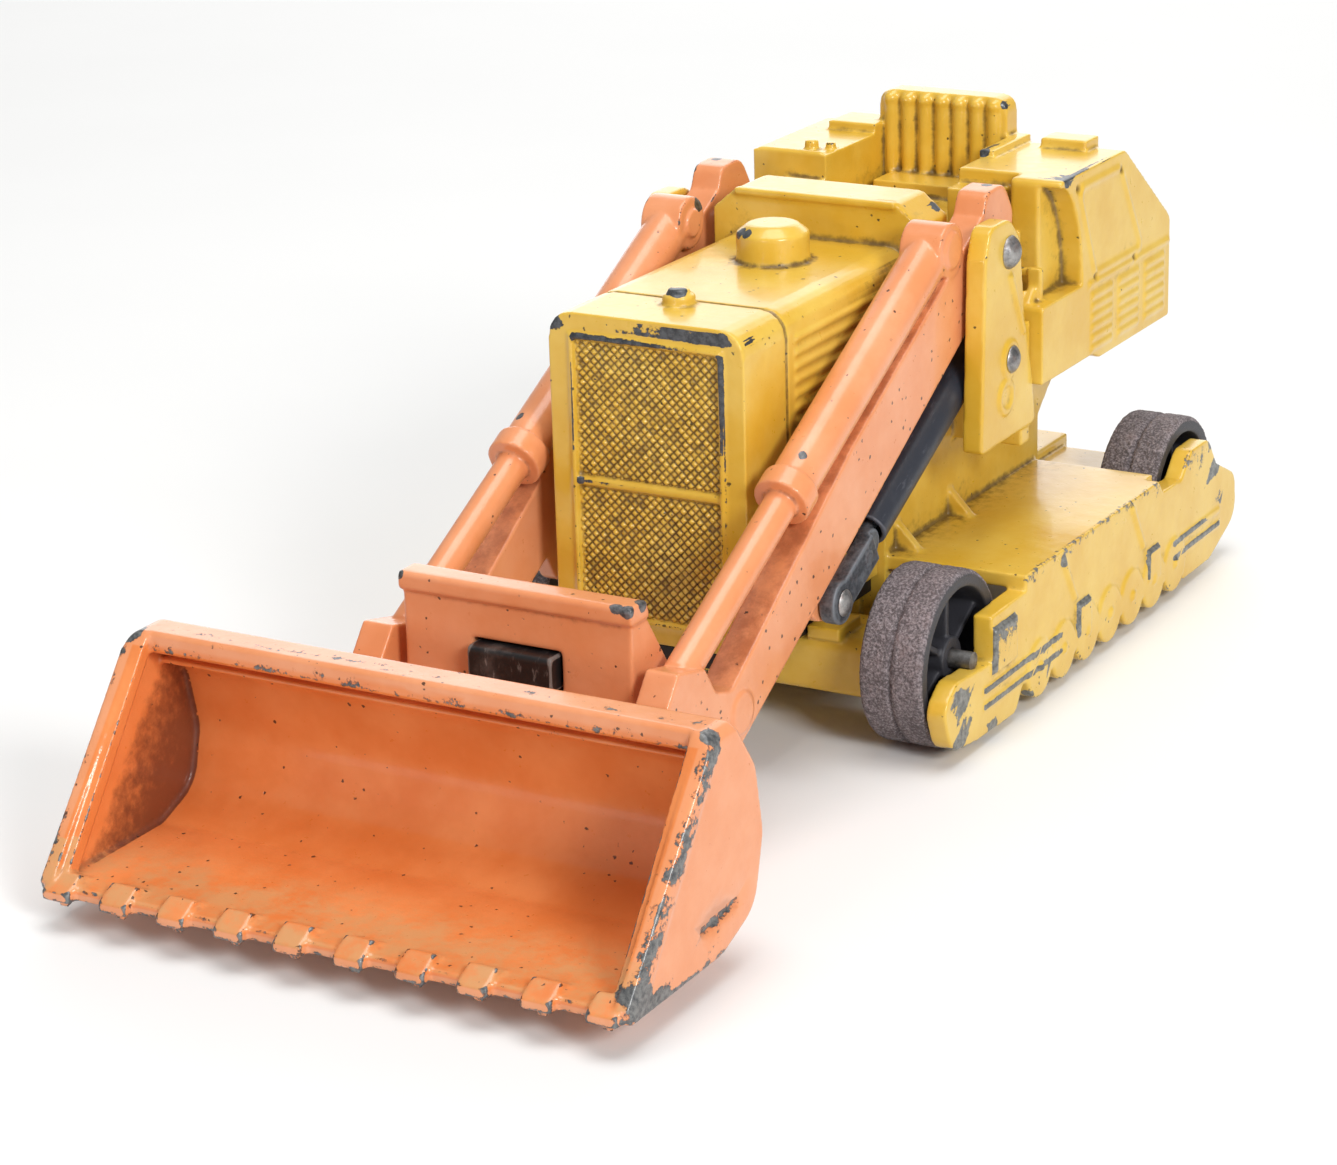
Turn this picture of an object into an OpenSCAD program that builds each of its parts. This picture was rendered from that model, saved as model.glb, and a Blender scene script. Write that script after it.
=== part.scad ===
// Die-cast toy crawler shovel with a lifting arm frame and a tipping bucket.
// The front (bucket) points along -Y, up is +Z, and the wheels stand on Z = 0.

/* [Hood] */
// Half width of the hood
hood_half = 11.2; // [10.8:0.1:11.3]
// Front face of the radiator shell
hood_front = -14.4; // [-15:0.1:-14]
// Top of the hood
hood_top = 47.2; // [46.8:0.1:47.6]
// Underside of the hood
hood_bottom = 13.1; // [12.9:0.1:13.3]
// Half width of the grille panel
grille_half = 8.3; // [8:0.1:8.6]

/* [Running gear] */
// Radius of the road wheels
wheel_r = 9.4; // [9.2:0.1:9.6]
// Width of a road wheel
wheel_w = 7.2; // [7:0.1:7.3]
// Inner face of the road wheels, from the centre line
wheel_in = 18.7; // [18.6:0.1:18.9]
// Place of the front axle
front_axle_y = 4.0; // [3.8:0.1:4.2]
// Place of the rear axle
rear_axle_y = 64.7; // [64.5:0.1:64.9]
// Radius of the axles
axle_r = 1.0; // [0.9:0.05:1.1]

/* [Chassis] */
// Outer face of the side skirts, from the centre line
skirt_out = 28.4; // [28.3:0.1:28.6]
// Thickness of the side skirts
skirt_t = 2.2; // [2:0.1:2.3]
// Top of the track decks
deck_top = 15.4; // [15.2:0.1:15.6]
// Outer face of the pivot towers, from the centre line
tower_out = 20.7; // [20.6:0.1:20.8]
// Thickness of the pivot towers
tower_t = 2.35; // [2.2:0.05:2.4]

/* [Lift arms] */
// Outer face of the arms, from the centre line
arm_out = 17.8; // [17.7:0.05:17.9]
// Thickness of the arms
arm_t = 3.6; // [3.4:0.1:3.7]
// Radius of the arm and cylinder rivets
rivet_r = 1.0; // [0.9:0.05:1.1]
// Radial clearance of the running fits
fit = 0.05; // [0.03:0.01:0.08]

/* [Bucket] */
// Half width of the bucket
bucket_half = 31.9; // [31.5:0.1:32.3]
// Thickness of the bucket walls
bucket_wall = 1.5; // [1.3:0.1:1.7]
// Number of bucket teeth
tooth_count = 10; // [8:1:12]

/* [Hidden] */
$fn = 48;
arm_pivot = [27.4, 46.7];
cyl_pivot = [27.4, 35.0];
rod_pivot = [-6.9, 17.9];
bucket_pivot = [-43.4, 6.5];
arm_in = arm_out - arm_t;
tower_in = tower_out - tower_t;
skirt_in = skirt_out - skirt_t;
frame_half = 12.0;
deck_front = 15.0;
deck_rear = 53.5;
seam_z = 30.4;
seam_gap = 0.1;
cyl_x = 16.0;
cyl_r = 2.1;
cyl_bore_r = 1.6;
rod_r = 0.75;
cyl_dir = (rod_pivot - cyl_pivot) / norm(rod_pivot - cyl_pivot);
cyl_angle = atan2(-cyl_dir[1], -cyl_dir[0]);
cyl_length = 27.8;
rod_length = 23.0;
base_rivet_r = 1.2;
ram_x = 15.5;
ram_head = [19.0, 48.5];
ram_foot = [-36.2, 19.5];
ram_angle = atan2(ram_head[1] - ram_foot[1], ram_head[0] - ram_foot[0]);
ram_length = norm(ram_foot - ram_head);
collar_at = 36.5;
tank_out = 21.6;
tank_front = 38.6;
tank_top = 51.9;
tank_ledge_z = 39.0;
tank_rear = 70.1;
floor_z = 46.0;
seat_y = 54.3;
seat_top = 57.0;
box_half = 12.8;
slot_half = 5.0;
slot_z = [17.2, 21.6];
spring_z = 17.7;
yellow = [0.87, 0.70, 0.22];
orange = [0.88, 0.45, 0.24];
black = [0.10, 0.10, 0.11];
grey = [0.45, 0.46, 0.47];
steel = [0.62, 0.60, 0.58];

// ---- outline helpers -------------------------------------------------------

function unit(v) = v / norm(v);
function spun(v, a) = [v[0] * cos(a) - v[1] * sin(a), v[0] * sin(a) + v[1] * cos(a)];
function flat(p) = [p[0], p[1]];

// Arc of radius r that replaces the corner b between its neighbours a and c.
function corner(a, b, c, r, n) =
  r <= 0 ? [b] :
  let (
    u = unit(a - b),
    v = unit(c - b),
    half = acos(u * v) / 2,
    centre = b + unit(u + v) * r / sin(half),
    from = b + u * r / tan(half) - centre,
    to = b + v * r / tan(half) - centre,
    turn = atan2(from[0] * to[1] - from[1] * to[0], from * to)
  )
  [for (i = [0:n]) centre + spun(from, turn * i / n)];

// Closed outline from corners [y, z, radius].
function rounded(pts, n = 4) = [
  for (i = [0:len(pts) - 1])
    let (
      a = pts[(i + len(pts) - 1) % len(pts)],
      b = pts[i],
      c = pts[(i + 1) % len(pts)],
      r = len(b) > 2 ? b[2] : 0
    )
    each corner(flat(a), flat(b), flat(c), r, n)
];

// Plate standing in the YZ plane from x0 to x1, with rounded corners.
module plate(pts, x0, x1, n = 4) {
  translate([x0, 0, 0])
    rotate([90, 0, 90])
      linear_extrude(x1 - x0) polygon(rounded(pts, n));
}

// Bar standing in the XZ plane from y0 to y1, with rounded corners.
module bar(pts, y0, y1, n = 4) {
  translate([0, y1, 0])
    rotate([90, 0, 0])
      linear_extrude(y1 - y0) polygon(rounded(pts, n));
}

// Block between two opposite corners.
module block(low, high) {
  translate(low) cube(high - low);
}

// Round bar along X, centred on the point at = [y, z].
module across(at, r, x0, x1) {
  translate([x0, at[0], at[1]])
    rotate([0, 90, 0]) cylinder(h = x1 - x0, r = r);
}

// Draws its children on the right, or mirrored on the left.
module on_side(side) {
  if (side == "right") children();
  else mirror([1, 0, 0]) children();
}

// Draws its children on both sides.
module both() {
  children();
  mirror([1, 0, 0]) children();
}

// Draws its children at the two rivets that hold the base plate.
module at_base_rivets() {
  for (x = [-6.0, 6.0])
    translate([x, 10.8, 0]) children();
}

// ---- upper body casting ----------------------------------------------------

hood_section = [
  [-hood_half, hood_bottom], [hood_half, hood_bottom],
  [hood_half, hood_top, 2.6], [-hood_half, hood_top, 2.6]
];
grille_low = 15.6;
grille_high = 44.5;
grille_depth = 0.5;
shell_y = -5.6;
cowl_y = [22.6, 29.4];
rail_front = 14.6;

module hood() {
  bar(hood_section, hood_front, rail_front);
  intersection() {
    bar(hood_section, rail_front, cowl_y[1]);
    block([-20, rail_front, seam_z], [20, cowl_y[1], 60]);
  }
}

// Recessed radiator panel, its raised edge and its crossbar.
module grille_cut() {
  difference() {
    block([-grille_half, hood_front - 1, grille_low], [grille_half, hood_front + grille_depth, grille_high]);
    block([-grille_half, hood_front, 29.2], [grille_half, hood_front + 1, 29.9]);
  }
}

module grille_border() {
  difference() {
    block([-grille_half - 0.5, hood_front - 0.35, grille_low - 0.5],
          [grille_half + 0.5, hood_front + 0.2, grille_high + 0.5]);
    block([-grille_half, hood_front - 1, grille_low], [grille_half, hood_front + 1, grille_high]);
  }
}

// Groove behind the radiator shell, round the sides and top of the hood.
module shell_groove() {
  difference() {
    block([-20, shell_y, hood_bottom - 1], [20, shell_y + 0.5, hood_top + 1]);
    bar([[-hood_half + 0.3, 0], [hood_half - 0.3, 0],
         [hood_half - 0.3, hood_top - 0.3, 2.4], [-hood_half + 0.3, hood_top - 0.3, 2.4]],
        shell_y - 1, shell_y + 2);
  }
}

// Horizontal cooling ribs on one hood side.
module hood_ribs() {
  for (i = [0:6])
    block([hood_half - 0.2, -3.6, 43.6 - 1.45 * i], [hood_half + 0.3, 19.0, 44.2 - 1.45 * i]);
}

module hood_fittings() {
  translate([0, -7.2, hood_top - 0.2]) cylinder(h = 1.3, r = 1.7);
  translate([0, -7.2, hood_top - 0.2]) cylinder(h = 1.9, r = 1.1);
  translate([0, 13.0, hood_top - 0.3]) cylinder(h = 3.3, r = 3.9);
  translate([0, 13.0, hood_top + 3.0]) cylinder(h = 1.0, r1 = 3.9, r2 = 2.6);
}

module cowl() {
  bar([[-12.5, hood_top - 3, 0.4], [12.5, hood_top - 3, 0.4], [12.5, 49.6, 0.5],
       [9.6, 52.0, 0.6], [-9.6, 52.0, 0.6], [-12.5, 49.6, 0.5]], cowl_y[0], cowl_y[1]);
}

// Body tub behind the cowl, from the seam up to the cockpit floor.
module tub() {
  block([-frame_half + 0.1, cowl_y[1] - 0.5, seam_z], [frame_half - 0.1, 34.5, floor_z]);
  block([-tank_out, 34.1, seam_z], [tank_out, tank_front + 0.2, tank_ledge_z]);
  block([-16.6, tank_front - 0.6, seam_z], [16.6, 66.0, floor_z]);
}

function arch(n) = [for (i = [0:n]) [tank_front - 0.01 + 6.1 * sin(90 * i / n), tank_ledge_z + 12.2 * cos(90 * i / n)]];

// Side tank with an arched cut-out at its front lower corner.
module tank(x_in, x_out, top) {
  plate([[34.0, seam_z], [34.0, tank_ledge_z, 0.4], [tank_front, tank_ledge_z],
         [tank_front, top, 0.8], [56.5, top, 2], [tank_rear, 41.4, 1.5],
         [tank_rear, 29.5, 0.5], [50.0, 29.5], [47.5, seam_z]], x_in, x_out);
}

module tank_arch() {
  translate([tank_out - 2.6, 0, 0]) rotate([90, 0, 90])
    linear_extrude(4) polygon(concat([[tank_front - 1, tank_ledge_z + 12.2]], arch(10), [[tank_front - 1, tank_ledge_z]]));
}

// Raised door panel, seam line and louvres on the outside of a tank.
module tank_trim() {
  x = tank_out - 0.2;
  difference() {
    plate([[43.2, 50.4, 1], [55.2, 50.4, 1], [61.8, 39.4, 0.8], [47.9, 39.4, 0.8]], x, tank_out + 0.25);
    plate([[43.8, 49.9, 0.8], [54.9, 49.9, 0.8], [60.8, 39.9, 0.6], [48.3, 39.9, 0.6]], tank_out, tank_out + 1);
  }
  block([x, 46.5, 38.4], [tank_out + 0.3, 69.6, 38.9]);
  louvres();
}

// Three columns of louvres low on a tank side.
module louvres() {
  pitch = 1.2;
  for (column = [0:2], row = [0:5])
    translate([tank_out - 0.2, 47.2 + 7.6 * column, 30.9 + pitch * row]) cube([0.5, 5.8, 0.6]);
}

module right_console() {
  difference() {
    tank(8.2, tank_out, tank_top);
    tank_arch();
    block([7, 33, tank_ledge_z], [15.6, 41.2, 60]);
  }
  block([8.2, 38.2, floor_z - 1], [14.2, 42.4, 50.2]);
  block([8.0, 47.0, tank_top - 1.0], [9.8, 57.0, tank_top + 0.8]);
  block([12.4, 53.6, tank_top - 0.5], [18.0, 57.4, tank_top + 1.2]);
  tank_trim();
}

module left_console() {
  mirror([1, 0, 0]) {
    tank(14.0, tank_out, 44.5);
    block([7.4, 39.6, floor_z - 1], [16.6, 58.0, tank_top + 0.3]);
    block([7.6, 36.8, floor_z - 6], [12.4, 40.0, 49.4]);
    translate([10.4, 42.0, tank_top]) cylinder(h = 1.4, r = 0.8);
    translate([8.4, 42.8, tank_top]) cylinder(h = 1.1, r = 0.6);
    block([7.4, 52.0, tank_top], [13.4, 57.6, tank_top + 1.4]);
    block([tank_out - 0.2, 46.5, 38.4], [tank_out + 0.3, 69.6, 38.9]);
    louvres();
  }
}

// Seat back with seven upright padded ribs.
module seat() {
  rib_count = 7;
  pitch = 2.15;
  bar([[-8.0, floor_z - 1], [8.0, floor_z - 1], [8.0, seat_top, 1.6], [-8.0, seat_top, 1.6]],
      seat_y, seat_y + 3.0);
  for (i = [0:rib_count - 1])
    translate([(i - (rib_count - 1) / 2) * pitch, seat_y, floor_z - 0.5])
      cylinder(h = seat_top - floor_z - 0.3, r = 0.75, $fn = 24);
  block([-6.4, 49.0, floor_z - 1], [6.4, seat_y + 1, floor_z + 1.6]);
}

// Rear panel between the tanks, with a filler neck and raised ribs.
module tail() {
  block([-16.6, 57.2, seam_z], [16.6, 69.4, 44.8]);
  block([-7.4, 57.2, 44.0], [7.4, 66.4, 48.4]);
  translate([0, 62.0, 48.2]) cylinder(h = 1.6, r = 2.2);
  for (i = [0:4])
    block([-9.0, 69.0, 32.4 + 2.2 * i], [9.0, 69.9, 33.6 + 2.2 * i]);
}

module upper_body_cavity() {
  block([-hood_half + 1.5, hood_front + 1.8, hood_bottom - 1], [hood_half - 1.5, rail_front - 1.5, hood_top - 1.6]);
  block([-hood_half + 1.5, rail_front - 2, seam_z + 0.1], [hood_half - 1.5, cowl_y[1] - 1, hood_top - 1.6]);
  block([-frame_half + 1.6, cowl_y[0], seam_z - 1], [frame_half - 1.6, 66.0, floor_z - 1.6]);
  block([-tank_out + 1.6, 36.0, seam_z - 2], [tank_out - 1.6, 67.6, 37.2]);
}

module upper_body() {
  color(yellow) {
    difference() {
      union() {
        hood();
        grille_border();
        both() hood_ribs();
        hood_fittings();
        cowl();
        tub();
        right_console();
        left_console();
        seat();
        tail();
      }
      grille_cut();
      shell_groove();
      upper_body_cavity();
    }
    at_base_rivets()
      difference() {
        translate([0, 0, hood_bottom]) cylinder(h = hood_top - hood_bottom - 1, r = 2.6);
        translate([0, 0, hood_bottom - 1]) cylinder(h = 7, r = base_rivet_r + fit);
      }
  }
}

// ---- chassis casting -------------------------------------------------------

roller_r = 3.2;
roller_z = 4.1;
roller_y0 = 18.2;
roller_pitch = 6.3;
skirt_outline = [
  [deck_front, deck_top], [deck_front, 13.7], [6.4, 13.6, 0.4], [6.4, 8.6, 0.5],
  [-2.0, 9.2, 2.4], [-5.2, 7.0, 2.0], [-3.2, 2.0, 3.0], [3.0, 1.2, 4],
  [12.6, 0.9, 1.6], [14.2, 3.4, 0.6], [57.4, 3.4, 0.6], [59.0, 1.2, 1.4],
  [67.5, 1.2, 3.0], [75.6, 4.4, 3.0], [75.2, 9.6, 2.5], [69.0, 12.6, 1.5],
  [66.4, 16.3, 2.2], [61.0, 16.3, 2.4], [58.2, 13.6, 0.8], [52.6, 13.8, 0.3], [51.4, deck_top, 0.3]
];

module skirt() {
  plate(skirt_outline, skirt_in, skirt_out, 5);
  for (i = [0:6]) {
    y = roller_y0 + roller_pitch * i;
    across([y, roller_z], roller_r, skirt_in + 0.3, skirt_out + 0.3);
    across([y, roller_z + 0.2], 0.5, skirt_out, skirt_out + 0.6);
  }
  block([skirt_in, 6.4, 7.4], [skirt_out + 0.5, 12.0, 12.2]);
  for (z = [6.1, 4.4]) {
    block([skirt_out - 0.2, 4.5, z - 0.3], [skirt_out + 0.25, 23.6, z + 0.3]);
    block([skirt_out - 0.2, 55.4, z + 0.2], [skirt_out + 0.25, 70.0, z + 0.8]);
  }
  for (y = [28.2, 47.9])
    block([skirt_out - 0.2, y, 4.4], [skirt_out + 0.45, y + 3.3, 8.0]);
  for (y = [23.9, 43.0])
    plate([[y, 14.6], [y + 0.8, 14.6], [y + 4.3, 8.8], [y + 3.5, 8.8]], skirt_out - 0.2, skirt_out + 0.35);
}

module deck() {
  block([frame_half - 0.5, deck_front, deck_top - 1.6], [skirt_out - 0.1, 51.4, deck_top]);
  block([frame_half - 0.5, 51.0, deck_top - 1.6], [skirt_in + 0.5, deck_rear, deck_top]);
}

// Upright plate that carries the arm pivot and the lift cylinder pivot.
module tower() {
  difference() {
    union() {
      plate([[20.4, 26.0, 0.6], [34.4, 26.2, 0.6], [33.4, 32.0, 0.5], [31.4, 39.0, 1],
             [30.2, 47.6, 2.6], [27.6, 50.3, 2.6], [22.6, 50.3, 1.8], [21.4, 47.0, 1]], tower_in, tower_out);
      across(cyl_pivot, 2.0, tower_out - 0.2, tower_out + 0.35);
      across([26.4, 31.0], 1.9, tower_out - 0.2, tower_out + 0.3);
      plate([[27.2, 44.0], [27.8, 44.2], [31.2, 37.2], [30.6, 37.0]], tower_out - 0.2, tower_out + 0.35);
    }
    across([26.4, 31.0], 1.3, tower_out, tower_out + 1);
    across(arm_pivot, rivet_r + fit, tower_in - 1, tower_out + 1);
    across(cyl_pivot, rivet_r + fit, tower_in - 1, tower_out + 1);
  }
}

// Web that ties a tower back to the centre box, behind the swing of the arm.
module tower_web() {
  block([frame_half - 0.5, 31.4, 24.0], [tower_out - 0.4, 33.8, seam_z - 0.1]);
  block([frame_half + 0.1, 31.4, seam_z - 0.5], [tower_out - 0.4, 33.8, 37.6]);
}

module deck_gussets() {
  for (y = [17.2, 30.2])
    bar([[frame_half - 0.4, deck_top - 0.2], [frame_half + 3.2, deck_top - 0.2], [frame_half - 0.4, deck_top + 3.6]],
        y, y + 1.2);
}

module side_frame() {
  difference() {
    union() {
      skirt();
      deck();
      tower();
      tower_web();
      deck_gussets();
    }
    for (y = [front_axle_y, rear_axle_y])
      across([y, wheel_r], axle_r + fit, skirt_in - 1, skirt_out - 0.9);
  }
}

// Cross-member that carries an axle between the wheels.
module axle_beam(y, low, high) {
  plate([[y - 4.6, low, 0.8], [y + 4.6, low, 0.8], [y + 4.6, high, 1.2], [y - 4.6, high, 1.2]], -18.3, 18.3);
}

// Floor of the chassis between the centre box and the axles.
module rails() {
  block([-9.0, -0.4, 5.2], [9.0, deck_front + 1, 11.2]);
  block([-9.0, 50.0, 5.2], [9.0, 70.0, 13.6]);
}

module centre_box() {
  difference() {
    union() {
      block([-frame_half, rail_front + 0.1, 6.0], [frame_half, 54.6, seam_z - seam_gap]);
      plate([[53.0, 20.0], [54.6, 20.4], [58.8, 24.0, 0.5], [58.8, seam_z - 1.2], [53.0, seam_z - 1.2]],
            -frame_half, frame_half);
    }
    block([-frame_half + 1.7, rail_front + 1.9, 5.0], [frame_half - 1.7, 52.8, 28.6]);
  }
}

module drawbar() {
  difference() {
    plate([[69.0, 6.4], [69.0, 11.0], [73.6, 10.2, 1.0], [73.6, 7.2, 1.0]], -3.0, 3.0);
    translate([0, 71.6, 5]) cylinder(h = 8, r = 1.1);
  }
}

module chassis() {
  color(yellow)
    difference() {
      union() {
        centre_box();
        rails();
        axle_beam(front_axle_y, 5.0, 11.2);
        axle_beam(rear_axle_y, 5.6, 12.4);
        both() block([10.6, -0.9, 11.0], [14.4, 4.4, 12.4]);
        both() side_frame();
        drawbar();
      }
      for (y = [front_axle_y, rear_axle_y])
        across([y, wheel_r], axle_r + fit, -18.9, 18.9);
      at_base_rivets() cylinder(h = 20, r = base_rivet_r + fit);
    }
}

// ---- base plate, rivets and running gear -----------------------------------

module base_plate() {
  color(black)
    difference() {
      block([-10.4, -14.0, 11.3], [10.4, 14.5, 13.0]);
      at_base_rivets() cylinder(h = 20, r = base_rivet_r + fit);
    }
}

module base_rivets() {
  color(steel)
    at_base_rivets() {
      translate([0, 0, 4.6]) cylinder(h = 13.4, r = base_rivet_r);
      translate([0, 0, 4.3]) cylinder(h = 0.9, r1 = 1.5, r2 = 2.1);
    }
}

module axle(y) {
  color(steel) across([y, wheel_r], axle_r, -skirt_out + 1.0, skirt_out - 1.0);
}

module front_axle() axle(front_axle_y);
module rear_axle() axle(rear_axle_y);

// Road wheel with a tread seam, a deep outer dish and six webs.
module wheel(y, side) {
  dish_r = 7.6;
  dish_depth = 4.6;
  hub_r = 2.3;
  web_t = 0.7;
  out = wheel_in + wheel_w;
  color(black)
    on_side(side)
      difference() {
        union() {
          difference() {
            translate([wheel_in, y, wheel_r]) rotate([90, 0, 90])
              rotate_extrude($fn = 72)
                polygon(rounded([[0, 0], [wheel_r, 0, 0.7], [wheel_r, wheel_w / 2 - 0.3],
                                 [wheel_r - 0.35, wheel_w / 2 - 0.15], [wheel_r - 0.35, wheel_w / 2 + 0.15],
                                 [wheel_r, wheel_w / 2 + 0.3], [wheel_r, wheel_w, 0.7], [0, wheel_w]], 3));
            across([y, wheel_r], dish_r, out - dish_depth, out + 1);
          }
          across([y, wheel_r], hub_r, out - dish_depth - 1, out - 0.9);
          for (i = [0:5])
            translate([out - dish_depth - 0.5, y, wheel_r]) rotate([60 * i, 0, 0])
              translate([0, -web_t / 2, 0.5]) cube([dish_depth - 0.9, web_t, dish_r]);
        }
        across([y, wheel_r], axle_r + fit, wheel_in - 1, out + 1);
      }
}

module wheel_front_left() wheel(front_axle_y, "left");
module wheel_front_right() wheel(front_axle_y, "right");
module wheel_rear_left() wheel(rear_axle_y, "left");
module wheel_rear_right() wheel(rear_axle_y, "right");

// ---- lift arms -------------------------------------------------------------

arm_outline = [
  [27.0, 50.3, 0.4], [28.0, 52.6, 1.4], [32.4, 53.0, 2.6], [34.6, 49.6, 1.6], [34.4, 45.6, 2],
  [25.0, 39.7, 2.5], [-27.1, 10.6, 2], [-40.0, 4.0, 2], [-45.8, 3.6, 2.4], [-46.4, 8.8, 2.4],
  [-42.6, 15.6, 1.5], [-36.0, 18.0, 1.5], [-30.0, 16.2, 1.5], [-4.0, 33.4, 6]
];

// Ram cast on the arm: head, barrel, collar and rod, with a thin web under the barrel.
module ram() {
  translate([ram_x, ram_head[0], ram_head[1]]) rotate([90 + ram_angle, 0, 0]) {
    cylinder(h = collar_at, r = 2.5);
    translate([0, 0, collar_at - 0.5]) cylinder(h = 2.6, r = 3.0);
    cylinder(h = ram_length, r = 1.75);
  }
  across(ram_head, 2.9, ram_x - 2.4, ram_x + 2.4);
  across(ram_head, 1.5, ram_x - 2.75, ram_x + 2.75);
  plate([[17.0, 44.0], [17.0, 47.4], [-12.0, 32.2], [-12.0, 27.4]], arm_in + 0.3, arm_in + 1.5);
}

module arm(side) {
  color(orange)
    on_side(side)
      difference() {
        union() {
          plate(arm_outline, arm_in, arm_out, 5);
          ram();
          plate([[-42.6, 18.4, 0.5], [-40.2, 21.4, 0.5], [-35.0, 20.2, 0.5], [-31.8, 15.4], [-40.0, 14.0]],
                arm_in, arm_out);
          plate([[-12.0, 20.6], [-9.6, 16.4, 2.4], [-5.4, 15.2, 2.0], [-3.6, 18.6, 1], [-1.0, 26.0]],
                arm_in, arm_in + 2.0);
          across([-28.2, 13.4], 2.1, arm_out - 0.2, arm_out + 0.3);
        }
        across(arm_pivot, rivet_r + fit, arm_in - 1, arm_out + 1);
        across(rod_pivot, rivet_r + fit, arm_in - 1, arm_out + 1);
        across(bucket_pivot, pin_r + fit, arm_in - 1, arm_out + 1);
      }
}

module arm_left() arm("left");
module arm_right() arm("right");

// Hollow box between the arms that houses the tilt catch.
module arm_crossbox() {
  color(orange)
    difference() {
      union() {
        plate([[-40.4, 11.6, 0.4], [-40.2, 26.8, 0.5], [-38.2, 26.8, 0.5], [-33.4, 19.6, 0.4], [-33.4, 11.6, 0.4]],
              -box_half, box_half);
        plate([[-40.4, 11.6], [-40.4, 16.2], [-33.4, 16.2], [-33.4, 11.6]], -arm_in, arm_in);
        plate([[-40.7, 25.4, 0.3], [-40.7, 27.3, 0.5], [-37.6, 27.3, 0.5], [-37.0, 25.4, 0.3]],
              -box_half - 0.3, box_half + 0.3);
      }
      plate([[-38.9, 13.4], [-38.9, 24.6], [-38.2, 24.6], [-34.8, 19.2], [-34.8, 13.4]], -7.6, 7.6);
      block([-slot_half, -42, slot_z[0]], [slot_half, -38.5, slot_z[1]]);
    }
}

// Black plastic catch that pokes through the slot towards the bucket rim.
module tilt_catch() {
  color(black) {
    plate([[-41.8, 17.8, 0.6], [-41.8, 21.3, 0.6], [-38.2, 21.3], [-38.2, 17.8]], -slot_half + 0.3, slot_half - 0.3);
    plate([[-38.8, 16.6], [-38.8, 22.4], [-38.0, 22.4], [-38.0, 16.6]], -6.2, 6.2);
    translate([0, -38.4, spring_z]) rotate([-90, 0, 0]) cylinder(h = 1.3, r = 0.7);
  }
}

// Return spring of the catch at its pressed length, drawn as a plain tube.
module catch_spring() {
  color(steel)
    translate([0, -34.8, spring_z]) rotate([90, 0, 0])
      difference() {
        cylinder(h = 2.2, r = 1.3);
        translate([0, 0, -1]) cylinder(h = 5, r = 0.9);
      }
}

// ---- bucket ----------------------------------------------------------------

rim_top = 24.4;
lip_y = -74.4;
pin_r = 0.95;
lug_gap = 0.3;
lug_t = 1.6;
bucket_back = [
  [-54.6, 23.6, 0.6], [-51.2, 18.8, 3], [-50.0, 12.0, 5], [-51.8, 5.2, 4], [-58.0, 3.0, 3]
];
bucket_inside = [
  [-58.4, 4.5, 3], [-53.0, 6.6, 4], [-51.5, 12.2, 5], [-52.8, 18.4, 2.5], [-55.6, 22.0, 0.5]
];
bucket_hollow = concat(bucket_inside, [[-70, 22], [-70, 4.5]]);
bucket_side = concat(bucket_back, [[lip_y, 3.0, 0.3], [lip_y - 0.5, 4.6, 0.3], [-58.8, rim_top, 0.4], [-55.0, rim_top, 0.4]]);

module bucket_shell() {
  plate(concat(bucket_back, [[lip_y, 3.0, 0.3], [lip_y - 0.4, 4.4, 0.3]], bucket_inside,
               [[-58.0, 22.0, 0.3], [-58.8, 22.4, 0.3], [-58.8, rim_top, 0.4], [-55.0, rim_top, 0.4]]),
        -bucket_half + 0.3, bucket_half - 0.3, 5);
}

module bucket_cheek() {
  plate(bucket_side, bucket_half - bucket_wall, bucket_half, 5);
  plate([[lip_y - 0.4, 3.4, 0.3], [-58.8, rim_top, 0.3], [-57.0, rim_top, 0.3], [-72.2, 4.0, 0.3]],
        bucket_half - bucket_wall - 0.8, bucket_half + 0.15);
}

// Wedge tooth on the lip, with a small rib below it.
module tooth() {
  half = 1.6;
  plate([[-71.4, 4.2], [-73.4, 5.3, 0.2], [-75.7, 4.1, 0.2], [-75.6, 3.0, 0.2], [-72.0, 3.2]], -half, half);
  plate([[-71.4, 3.2], [-74.4, 2.2], [-74.8, 3.1]], -0.6, 0.6);
}

// Rounds the outer top corners where the rim meets a cheek.
module rim_corner() {
  r = 1.6;
  difference() {
    block([bucket_half - r, -62, rim_top - r], [bucket_half + 1, -50, rim_top + 1]);
    translate([bucket_half - r, -49, rim_top - r]) rotate([90, 0, 0]) cylinder(h = 14, r = r);
  }
}

// Lug behind the back wall that hangs the bucket on its pin.
module bucket_lug(x0, x1) {
  difference() {
    plate([[-53.0, 14.0], [-50.6, 14.2], [-42.0, 9.2, 1.6], [-40.6, 5.6, 2.2], [-44.0, 3.6, 2], [-53.0, 5.6]], x0, x1);
    across(bucket_pivot, pin_r, x0 - 1, x1 + 1);
    plate(bucket_hollow, x0 - 1, x1 + 1, 5);
  }
}

module bucket() {
  pitch = 2 * (bucket_half - 2.4) / (tooth_count - 1);
  color(orange) {
    difference() {
      union() {
        bucket_shell();
        both() bucket_cheek();
      }
      both() rim_corner();
    }
    block([-bucket_half + 1, -56.4, 20.3], [bucket_half - 1, -53.4, 20.9]);
    for (i = [0:tooth_count - 1])
      translate([(i - (tooth_count - 1) / 2) * pitch, 0, 0]) tooth();
    both() {
      bucket_lug(arm_in - lug_gap - lug_t, arm_in - lug_gap);
      bucket_lug(arm_out + lug_gap, arm_out + lug_gap + lug_t);
    }
  }
}

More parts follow.
